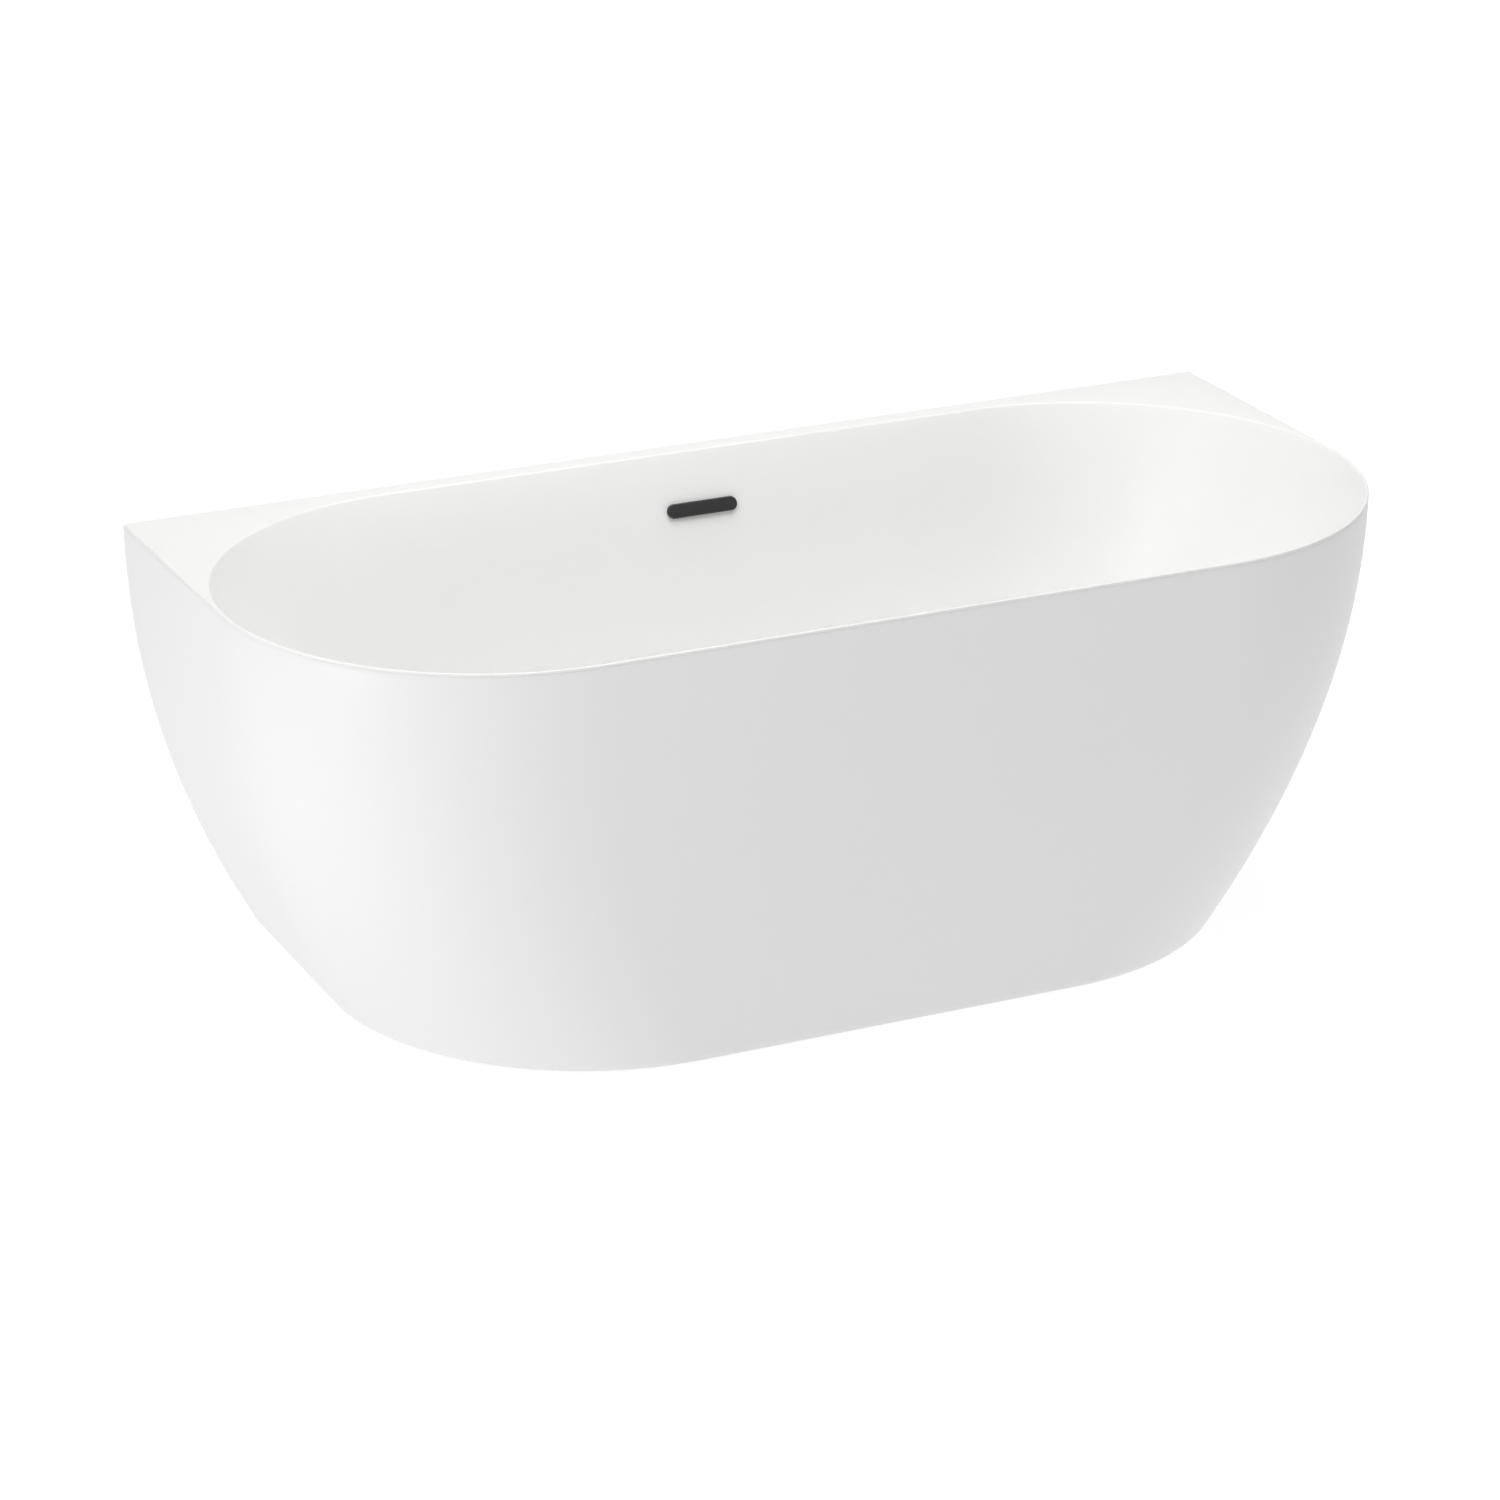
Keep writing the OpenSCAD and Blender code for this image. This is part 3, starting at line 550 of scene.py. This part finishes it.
def build_shell():
    LIP = 596.0
    rings, kind = [], []

    def add(r, k=0):
        rings.append(r)
        kind.append(k)

    # visible edge of the rim: small round under it, then the top round
    add(d_ring(LIP, 0.7, LIP))
    add(d_ring(LIP, 0.2, LIP + 0.15))
    add(d_ring(LIP, 0.0, LIP + 0.6))
    ro = 1.5
    for k in range(0, 7):
        a = math.radians(90 * k / 6)
        add(d_ring(H, ro * (1 - math.cos(a)), H - ro + ro * math.sin(a)))
    add(d_ring(H, 1.75, H))
    # basin edge: a soft round that runs into the wall's slope
    for k in range(0, 8):
        t = k / 7
        da = (1 - t) ** 2 * 1.3 - 2 * t * (1 - t) * 0.1 + t * t * (in_a(H - 2.4) - 796.0)
        db = (1 - t) ** 2 * 1.3 - 2 * t * (1 - t) * 0.1 + t * t * (in_b(H - 2.4) - 358.0)
        add(s_ring(796.0 + da, 358.0 + db, H - 2.4 * t * t))
    for z in np.concatenate([[596.6, 595.0, 592.5, 590.0], H - 12 - (H - 12 - 225) * (np.arange(0, 34) / 33.0)]):
        add(wall_ring(float(z)))
    for k in range(1, 19):
        add(wall_ring(155 + 70 * (1 - math.sin(math.radians(90 * k / 18)))))
    fa, fb = in_a(155.0) - 70, in_b(155.0) - 70
    for k, dz in ((0.93, 0.15), (0.84, 0.45), (0.7, 0.9), (0.55, 1.4), (0.4, 1.9), (0.27, 2.4)):
        add(s_ring(fa * k, fb * (0.25 + 0.75 * k), 155 - dz))
    add(s_ring(66, 64, 152.2))
    add(s_ring(52, 51.5, 152.0))
    add(s_ring(26.5, 26, 152.0))
    add(s_ring(26.5, 26, 146.0), 1)
    add(s_ring(60, 58, 146.0), 1)
    add(s_ring(fa * 0.4, fb * 0.55, 146.0), 1)
    add(s_ring(fa * 0.7, fb * 0.72, 146.0), 1)
    add(s_ring(fa + 2, fb + 2, 146.0), 1)
    for k in range(17, 0, -1):
        add(wall_ring(155 + 70 * (1 - math.sin(math.radians(90 * k / 18))), 5), 1)
    for z in (H - 12 - (H - 12 - 225) * (np.arange(33, -1, -1) / 33.0)):
        add(wall_ring(float(z), 5), 1)
    low = s_ring(in_a(592.0) + 4.6, in_b(592.0) + 4.6, LIP - 5)
    if rings[-1][0][2] > LIP - 5:
        rings.pop(); kind.pop()
    add(low, 1)
    lipw, edge = s_ring(in_a(LIP) + 2.1, in_b(LIP) + 2.1, LIP), d_ring(LIP, 0, LIP)
    add(lipw, 1)

    def mixr(a, b, k, w):
        v = b - a
        l = np.sqrt(v[:, 0] ** 2 + v[:, 1] ** 2)
        f = np.minimum(k, w / np.maximum(l, 1e-6))[:, None]
        r = a + v * f
        r[:, 2] = LIP
        return r

    add(mixr(lipw, edge, 0.3, 5), 1)
    add(mixr(edge, lipw, 0.3, 8), 1)
    verts = np.concatenate(rings) * MM
    faces = loop_loft(rings)
    fm = []
    for r in range(len(rings)):
        fm += [1 if kind[r] == 1 else 0] * N_RING
    return mesh_object("tub_shell_moulding", verts, faces, [MATS["white_acrylic"], MATS["grp"]], fm, sharp=40)


shell = build_shell()


def pill_solid(l, h, z0, z1, n=24):
    """Closed pill in the overflow's frame, as (verts in metres, faces)."""
    rings = [pill_ring(l, h, z0, n), pill_ring(l, h, z1, n)]
    k = len(rings[0])
    verts = [at_overflow(p) for r in rings for p in r]
    faces = loop_loft(rings, cyclic=False) + [tuple(range(k - 1, -1, -1)), tuple(range(k, 2 * k))]
    return verts, faces


def cut_overflow(ob):
    """Adds the boss behind the wall, then cuts the slot through both; the cover's posts stand in the slot."""
    boss = mesh_object("boss", *pill_solid(132, 44, -8, -3.2), [MATS["grp"]], smooth=False)
    cutter = mesh_object("cutter", *pill_solid(84, 10, -20, 20), [MATS["white_acrylic"]], smooth=False)
    for kind, other in (("UNION", boss), ("DIFFERENCE", cutter)):
        md = ob.modifiers.new(kind.lower(), "BOOLEAN")
        md.operation = kind
        md.solver = "EXACT"
        md.material_mode = "TRANSFER"
        md.object = other
    dg = bpy.context.evaluated_depsgraph_get()
    new = bpy.data.meshes.new_from_object(ob.evaluated_get(dg), depsgraph=dg)
    ob.modifiers.clear()
    old = ob.data
    ob.data = new
    new.name = old.name
    for o in (boss, cutter):
        bpy.data.objects.remove(o)


cut_overflow(shell)


def u_path(z, e, h):
    """U-shaped path of the skirt, from the left return round the front to the right return."""
    a, d = out_a(z), out_d(z)
    cx, cy, r = a - RC, BACK - d + RC, RC - e
    c = max(0.4, 1.6 - e)
    left = [(-a + 60 - (60 - 6) * k / 4, BACK - e) for k in range(4)]
    left += [(-a + e + c + c * math.cos(math.radians(90 + 90 * k / 6)), BACK - e - c + c * math.sin(math.radians(90 + 90 * k / 6))) for k in range(7)]
    y0 = BACK - e - c
    left += [(-a + e, y0 + (cy - y0) * k / 10) for k in range(1, 10)]
    pts = list(left)
    pts += [(-cx + r * math.cos(math.radians(180 + 90 * j / 56)), cy + r * math.sin(math.radians(180 + 90 * j / 56))) for j in range(57)]
    pts += [(-cx + 2 * cx * i / 16, cy - r) for i in range(1, 16)]
    pts += [(-x, y) for x, y in reversed(pts[:len(left) + 57])]
    return np.array([(x, y, h) for x, y in pts])


def build_skirt():
    T, TOP, BOT = 3.6, 596.0, 3.0
    zs = [BOT + (TOP - 0.6 - BOT) * (1 - (1 - k / 70) ** 1.0) for k in range(71)]
    outer = [u_path(BOT, 0.8, BOT), u_path(BOT + 0.25, 0.25, BOT + 0.25), u_path(BOT + 0.8, 0, BOT + 0.8)] + [u_path(z, 0, z) for z in zs[1:]]
    outer += [u_path(TOP, 0.2, TOP - 0.15), u_path(TOP, 0.7, TOP)]
    inner = [u_path(TOP, T, TOP)] + [u_path(z, T, z) for z in reversed(zs[1:-1])] + [u_path(BOT, T, BOT)]
    rings = outer + inner
    n, m = len(rings[0]), len(rings)
    verts = np.concatenate(rings) * MM
    faces = loop_loft(rings, closed=False, cyclic=True)
    fm = []
    for r in range(m):
        fm += [1 if len(outer) <= r < m - 1 else 0] * (n - 1)
    # ends of the returns
    no = len(outer)
    for side in (0, n - 1):
        i, j = 0, m - 1
        chain = [r * n + side for r in range(m)]
        a, b = 0, m - 1
        while b - a > 1:
            za, zb = verts[chain[a + 1]][2], verts[chain[b - 1]][2]
            if b - a == 2:
                faces.append((chain[a], chain[a + 1], chain[b])); fm.append(0); break
            if abs(za - zb) < 1e-6 or (a + 1 < no and b - 1 >= no and abs(za - zb) < 0.004):
                faces.append((chain[a], chain[a + 1], chain[b - 1], chain[b])); fm.append(0); a += 1; b -= 1
            elif za < zb:
                faces.append((chain[a], chain[a + 1], chain[b])); fm.append(0); a += 1
            else:
                faces.append((chain[a], chain[b - 1], chain[b])); fm.append(0); b -= 1
    return mesh_object("outer_skirt_panel", verts, faces, [MATS["white_acrylic"], MATS["grp"]], fm, sharp=40)


skirt = build_skirt()
# The outer panel gets its own copy of the shell's acrylic. It is neutral in hue, which is the panel's own tone, and
# painted slightly darker than the shell as painted shade for the less-lit outer skirt.
skirt.data.materials[0] = acrylic("acrylic_white_panel_shaded", (0.888, 0.888, 0.889), (0.899, 0.899, 0.900))
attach(shell, "tub")
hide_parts("tub_shell")
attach(skirt, "tub")
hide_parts("outer_skirt")

# ------------------------------------------------------------------ overflow cover
def build_cover():
    prof = [(-9.0, 2.3), (-1.2, 1.4), (-0.5, 1.55), (0, 2.1)]          # inset, height: back edge
    prof += [(0, 4.0)]
    R = 2.4
    prof += [(-R * (1 - math.cos(math.radians(a))), 4.0 + R * math.sin(math.radians(a))) for a in range(15, 91, 15)]
    prof += [(-4.5, 6.46), (-7.5, 6.5)]
    rings = [pill_ring(104 + 2 * e, 20 + 2 * e, z) for e, z in prof]
    n = len(rings[0])
    verts = [at_overflow(p) for r in rings for p in r]
    faces = loop_loft(rings, cyclic=False)
    faces.append(tuple(range(n - 1, -1, -1)))
    faces.append(tuple((len(rings) - 1) * n + k for k in range(n)))
    # two posts behind the plate
    parts = []
    for s in (-1, 1):
        base = len(verts)
        for z in (-9.0, 2.6):
            for k in range(20):
                a = 2 * math.pi * k / 20
                verts.append(at_overflow((s * 30 + 3 * math.cos(a), 3 * math.sin(a), z)))
        for k in range(20):
            k2 = (k + 1) % 20
            faces.append((base + k, base + k2, base + 20 + k2, base + 20 + k))
        faces.append(tuple(base + k for k in range(19, -1, -1)))
        faces.append(tuple(base + 20 + k for k in range(20)))
    return mesh_object("overflow_cover_plate", verts, faces, [MATS["matt_black"]], sharp=38)


cover = build_cover()
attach(cover, "tub")
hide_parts("overflow_cover")

# ------------------------------------------------------------------ waste: flange and plug cap
FD = 152.0
flange = lathe("waste_flange_ring",
    [(21, FD - 44), (22.2, FD - 44.5), (24, FD - 44), (24, FD + 0.5), (30, FD + 1.5), (35.4, FD + 1.5), (35.9, FD + 1.7)]
    + arc(34.8, FD + 2.05, 1.15, 0, 85, 6) + [(33.2, FD + 3.3), (31.2, FD + 3.55), (30, FD + 3.5), (28.2, FD + 3.1), (26.2, FD + 2.2), (24.4, FD + 0.6), (23.0, FD - 2), (21.6, FD - 5), (21, FD - 8)],
    [MATS["matt_black"]], 96, (0, YC))
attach(flange, "tub")
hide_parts("waste_flange")
cap = lathe("plug_cap_dome",
    [(0, FD + 5.6), (4, FD + 5.6), (4, FD + 4.6), (20, FD + 4.6), (29.6, FD + 4.95)]
    + arc(30.3, FD + 6.15, 1.2, -100, 70, 8)
    + [(28.6, FD + 8.55), (26, FD + 9.75), (22, FD + 10.85), (18, FD + 11.6), (13.5, FD + 12.2), (9, FD + 12.55), (4.5, FD + 12.74), (0, FD + 12.8)],
    [MATS["matt_black"]], 96, (0, YC))
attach(cap, "plug")
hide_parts("plug_cap")

# ------------------------------------------------------------------ foot rods with real threads


def thread_rod(name, x, y):
    """M12 x 1.75 rod: lofted helical thread, hexagon for the spanner."""
    pitch, r0, depth, z0, z1, seg = 1.75, 5.95, 0.95, 23.5, 137.0, 28
    verts, faces = [], []
    per = 4
    rows = int((z1 - z0) / pitch * per) + 1
    prof = (0.0, 0.5, 1.0, 0.5)
    for j in range(rows):
        for k in range(seg):
            a = 2 * math.pi * k / seg
            ph = (j / per - k / seg) % 1.0
            d = 1 - abs(2 * ph - 1)
            d = min(1.0, max(0.0, (d - 0.12) / 0.76))
            fade = min(1.0, (j + 1) / 4.0, (rows - j) / 6.0)
            r = r0 - depth * (1 - d) * fade - (0.6 * max(0.0, 1 - (rows - 1 - j) / 4.0))
            z = z0 + j * pitch / per
            verts.append(((x + r * math.cos(a)) * MM, (y + r * math.sin(a)) * MM, z * MM))
    for j in range(rows - 1):
        for k in range(seg):
            k2 = (k + 1) % seg
            faces.append((j * seg + k, j * seg + k2, (j + 1) * seg + k2, (j + 1) * seg + k))
    faces.append(tuple(range(seg - 1, -1, -1)))
    faces.append(tuple((rows - 1) * seg + k for k in range(seg)))
    # plain pivot at the foot and a chamfered hexagon
    def block(pts_low, rings):
        base = len(verts)
        n = pts_low
        for r, z, hexa in rings:
            for k in range(n):
                a = 2 * math.pi * k / n
                rr = r / math.cos((a % (math.pi / 3)) - math.pi / 6) * math.cos(math.pi / 6) if hexa else r
                verts.append(((x + rr * math.cos(a)) * MM, (y + rr * math.sin(a)) * MM, z * MM))
        m = len(rings)
        for j in range(m - 1):
            for k in range(n):
                k2 = (k + 1) % n
                faces.append((base + j * n + k, base + j * n + k2, base + (j + 1) * n + k2, base + (j + 1) * n + k))
        faces.append(tuple(base + k for k in range(n - 1, -1, -1)))
        faces.append(tuple(base + (m - 1) * n + k for k in range(n)))
    hx = 17 / math.cos(math.radians(30)) / 2
    block(48, [(5.4, 5.0, 0), (6.0, 5.6, 0), (6.0, 14.1, 0)])
    block(48, [(8.4, 14.1, 0), (hx * 0.985, 14.7, 1), (hx, 15.0, 1), (hx, 21.3, 1), (hx * 0.985, 21.6, 1), (8.2, 22.1, 0)])
    block(28, [(5.9, 22.0, 0), (5.0, 22.6, 0), (5.0, 23.7, 0)])
    return mesh_object(name, verts, faces, [MATS["zinc_steel"]], sharp=28)


FOOT = [(x, YC + s * 170.0) for s in (-1, 1) for x in (-420.0, -80.0, 420.0)]
for i, (fx, fy) in enumerate(FOOT, 1):
    rod = thread_rod("foot_%d_threaded_rod" % i, fx, fy)
    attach(rod, "foot_%d_spindle" % i)
    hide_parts("foot_%d_rod" % i)

# ------------------------------------------------------------------ foot pads: ribbed sole and rounded skirt
for i, (fx, fy) in enumerate(FOOT, 1):
    pad = lathe("foot_%d_glide" % i,
        [(0, 0), (6, 0.0), (6.8, 0.7), (10.5, 0.7), (11.3, 0), (15, 0), (15.8, 0.7), (19.5, 0.7), (20.3, 0), (24.0, 0), (24.8, 0.7), (26.2, 0.7), (27, 0), (28.4, 0)]
        + arc(28.6, 1.4, 1.4, -90, 0, 5) + [(30, 4.4)] + arc(29.2, 4.4, 0.8, 0, 80, 4) + [(26, 6.9), (20, 8.1), (15.6, 9.1), (14.0, 9.9), (13.0, 11.2), (12.4, 12.6)]
        + arc(11.2, 13.2, 0.8, 0, 90, 4) + [(6.6, 14.0), (6.08, 13.6), (6.08, 4.9), (0, 4.9)],
        [MATS["pad_plastic"]], 72, (fx, fy), sharp=32)
    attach(pad, "foot_%d" % i)
    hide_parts("foot_%d_pad" % i)

# ------------------------------------------------------------------ corrugated overflow hose
ov_local = (0.0, -6.0, -23.0)
SP = at_overflow(ov_local)
SP_Y, SP_Z = SP[1] / MM, SP[2] / MM - 22
HOSE = [(SP_Y, SP_Z + 40), (SP_Y, SP_Z - 0.2), (SP_Y, SP_Z - 50), (SP_Y - 1, 370), (SP_Y - 8, 290), (SP_Y - 18, 220), (SP_Y - 36, 150), (SP_Y - 72, 104), (SP_Y - 120, 84), (150, 80), (95, 80), (YC + 52.2, 80), (0, 80)]


def catmull(p, per):
    out = []
    for i in range(1, len(p) - 2):
        p0, p1, p2, p3 = (np.array(p[i + k], float) for k in (-1, 0, 1, 2))
        for k in range(per):
            t = k / per
            out.append(0.5 * (2 * p1 + (p2 - p0) * t + (2 * p0 - 5 * p1 + 4 * p2 - p3) * t * t + (3 * p1 - p0 - 3 * p2 + p3) * t ** 3))
    out.append(np.array(p[-2], float))
    return np.array(out)


def build_hose():
    c = catmull(HOSE, 60)
    seg = np.linalg.norm(np.diff(c, axis=0), axis=1)
    s = np.concatenate([[0], np.cumsum(seg)])
    total = s[-1]
    step = 0.7
    n = int(total / step) + 1
    t = np.linspace(0, total, n)
    y, z = np.interp(t, s, c[:, 0]), np.interp(t, s, c[:, 1])
    dy, dz = np.gradient(y), np.gradient(z)
    l = np.hypot(dy, dz)
    dy, dz = dy / l, dz / l
    k = 5
    kern = np.ones(2 * k + 1) / (2 * k + 1)
    dy = np.convolve(np.pad(dy, k, mode="edge"), kern, "valid")
    dz = np.convolve(np.pad(dz, k, mode="edge"), kern, "valid")
    l = np.hypot(dy, dz)
    dy, dz = dy / l, dz / l
    plain = np.clip(np.minimum(t - 16, total - 16 - t) / 3.0, 0, 1)     # smooth cuffs at both ends
    wave = 0.5 + 0.5 * np.clip(1.5 * np.cos(2 * np.pi * t / 5.2), -1, 1)
    r = 12.9 - 1.25 * plain * (1 - wave)
    m = 30
    rings = []
    for i in range(n):
        rings.append([(r[i] * math.cos(2 * math.pi * q / m), y[i] + r[i] * math.sin(2 * math.pi * q / m) * dz[i], z[i] - r[i] * math.sin(2 * math.pi * q / m) * dy[i]) for q in range(m)])
    for i in range(n - 1, -1, -6):
        rr = 11.3
        rings.append([(rr * math.cos(2 * math.pi * q / m), y[i] + rr * math.sin(2 * math.pi * q / m) * dz[i], z[i] - rr * math.sin(2 * math.pi * q / m) * dy[i]) for q in range(m)])
    verts = np.array([p for rg in rings for p in rg]) * MM
    ob = mesh_object("overflow_hose_corrugated", verts, loop_loft(rings), [MATS["hose_plastic"]], sharp=50)
    return ob, total


hose, hose_len = build_hose()
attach(hose, "tub")
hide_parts("overflow_hose")

# ------------------------------------------------------------------ light, floor


def area(name, loc, aim, size, power, color=(1, 1, 1)):
    li = bpy.data.lights.new(name, "AREA")
    li.shape = "RECTANGLE"
    li.size, li.size_y = size
    li.energy = power
    li.color = color
    ob = bpy.data.objects.new(name, li)
    bpy.context.collection.objects.link(ob)
    ob.location = loc
    ob.rotation_euler = (Vector(aim) - Vector(loc)).to_track_quat("-Z", "Y").to_euler()
    ob.visible_camera = False
    return ob


area("side_soft", (-4.02, 1.08, 0.93), (0, 0, 0.35), (2.0, 1.6), 8)
area("left_high", (-3.20, -0.86, 2.94), (0, 0, 0.35), (2.0, 1.6), 25)
area("back_right", (2.54, 2.13, 2.94), (0, 0, 0.35), (2.0, 1.6), 6)
area("near_key", (-2.0, -2.0, 1.1), (-0.5, -0.2, 0.3), (1.2, 1.2), 6.6)
area("low_left", (-1.45, -0.36, 0.36), (-0.76, -0.06, 0.36), (0.4, 0.25), 0.75)
area("top_soft", (0.2, 0.0, 4.4), (0, 0, 0.3), (4.5, 3.5), 175)

world = bpy.data.worlds.new("studio")
bpy.context.scene.world = world
world.use_nodes = True
world.node_tree.nodes["Background"].inputs["Color"].default_value = (1, 1, 1, 1)
world.node_tree.nodes["Background"].inputs["Strength"].default_value = 0.155


def floor_material():
    """Pale seamless floor; it glows a little more away from the tub, as a lit sweep does."""
    m = Mat("studio_floor", (0.1, 0.1, 0.1), 0.85)
    m.b.inputs["Specular IOR Level"].default_value = 0.2
    m.b.inputs["Emission Color"].default_value = (1, 1, 1, 1)
    ln = m.n("ShaderNodeVectorMath", operation="LENGTH")
    m.link(m.co.outputs["Object"], ln.inputs[0])
    m.link(m.span(ln.outputs["Value"], 0.935, 0.98, 1.2, 2.6), m.b.inputs["Emission Strength"])
    f = m.noise(3, 2)
    m.color(m.mix(f, (0.097, 0.097, 0.097), (0.103, 0.103, 0.103)))
    return m.m


R = 30.0
floor_me = bpy.data.meshes.new("studio_floor")
ringv = [(R * math.cos(2 * math.pi * k / 64), R * math.sin(2 * math.pi * k / 64), 0) for k in range(64)]
floor_me.from_pydata(ringv, [], [tuple(range(64))])
floor_me.materials.append(floor_material())
floor = bpy.data.objects.new("studio_floor", floor_me)
floor.location = (0, 0, -0.0006)
bpy.context.collection.objects.link(floor)

bpy.context.scene.view_settings.view_transform = "Standard"
bpy.context.scene.view_settings.look = "None"
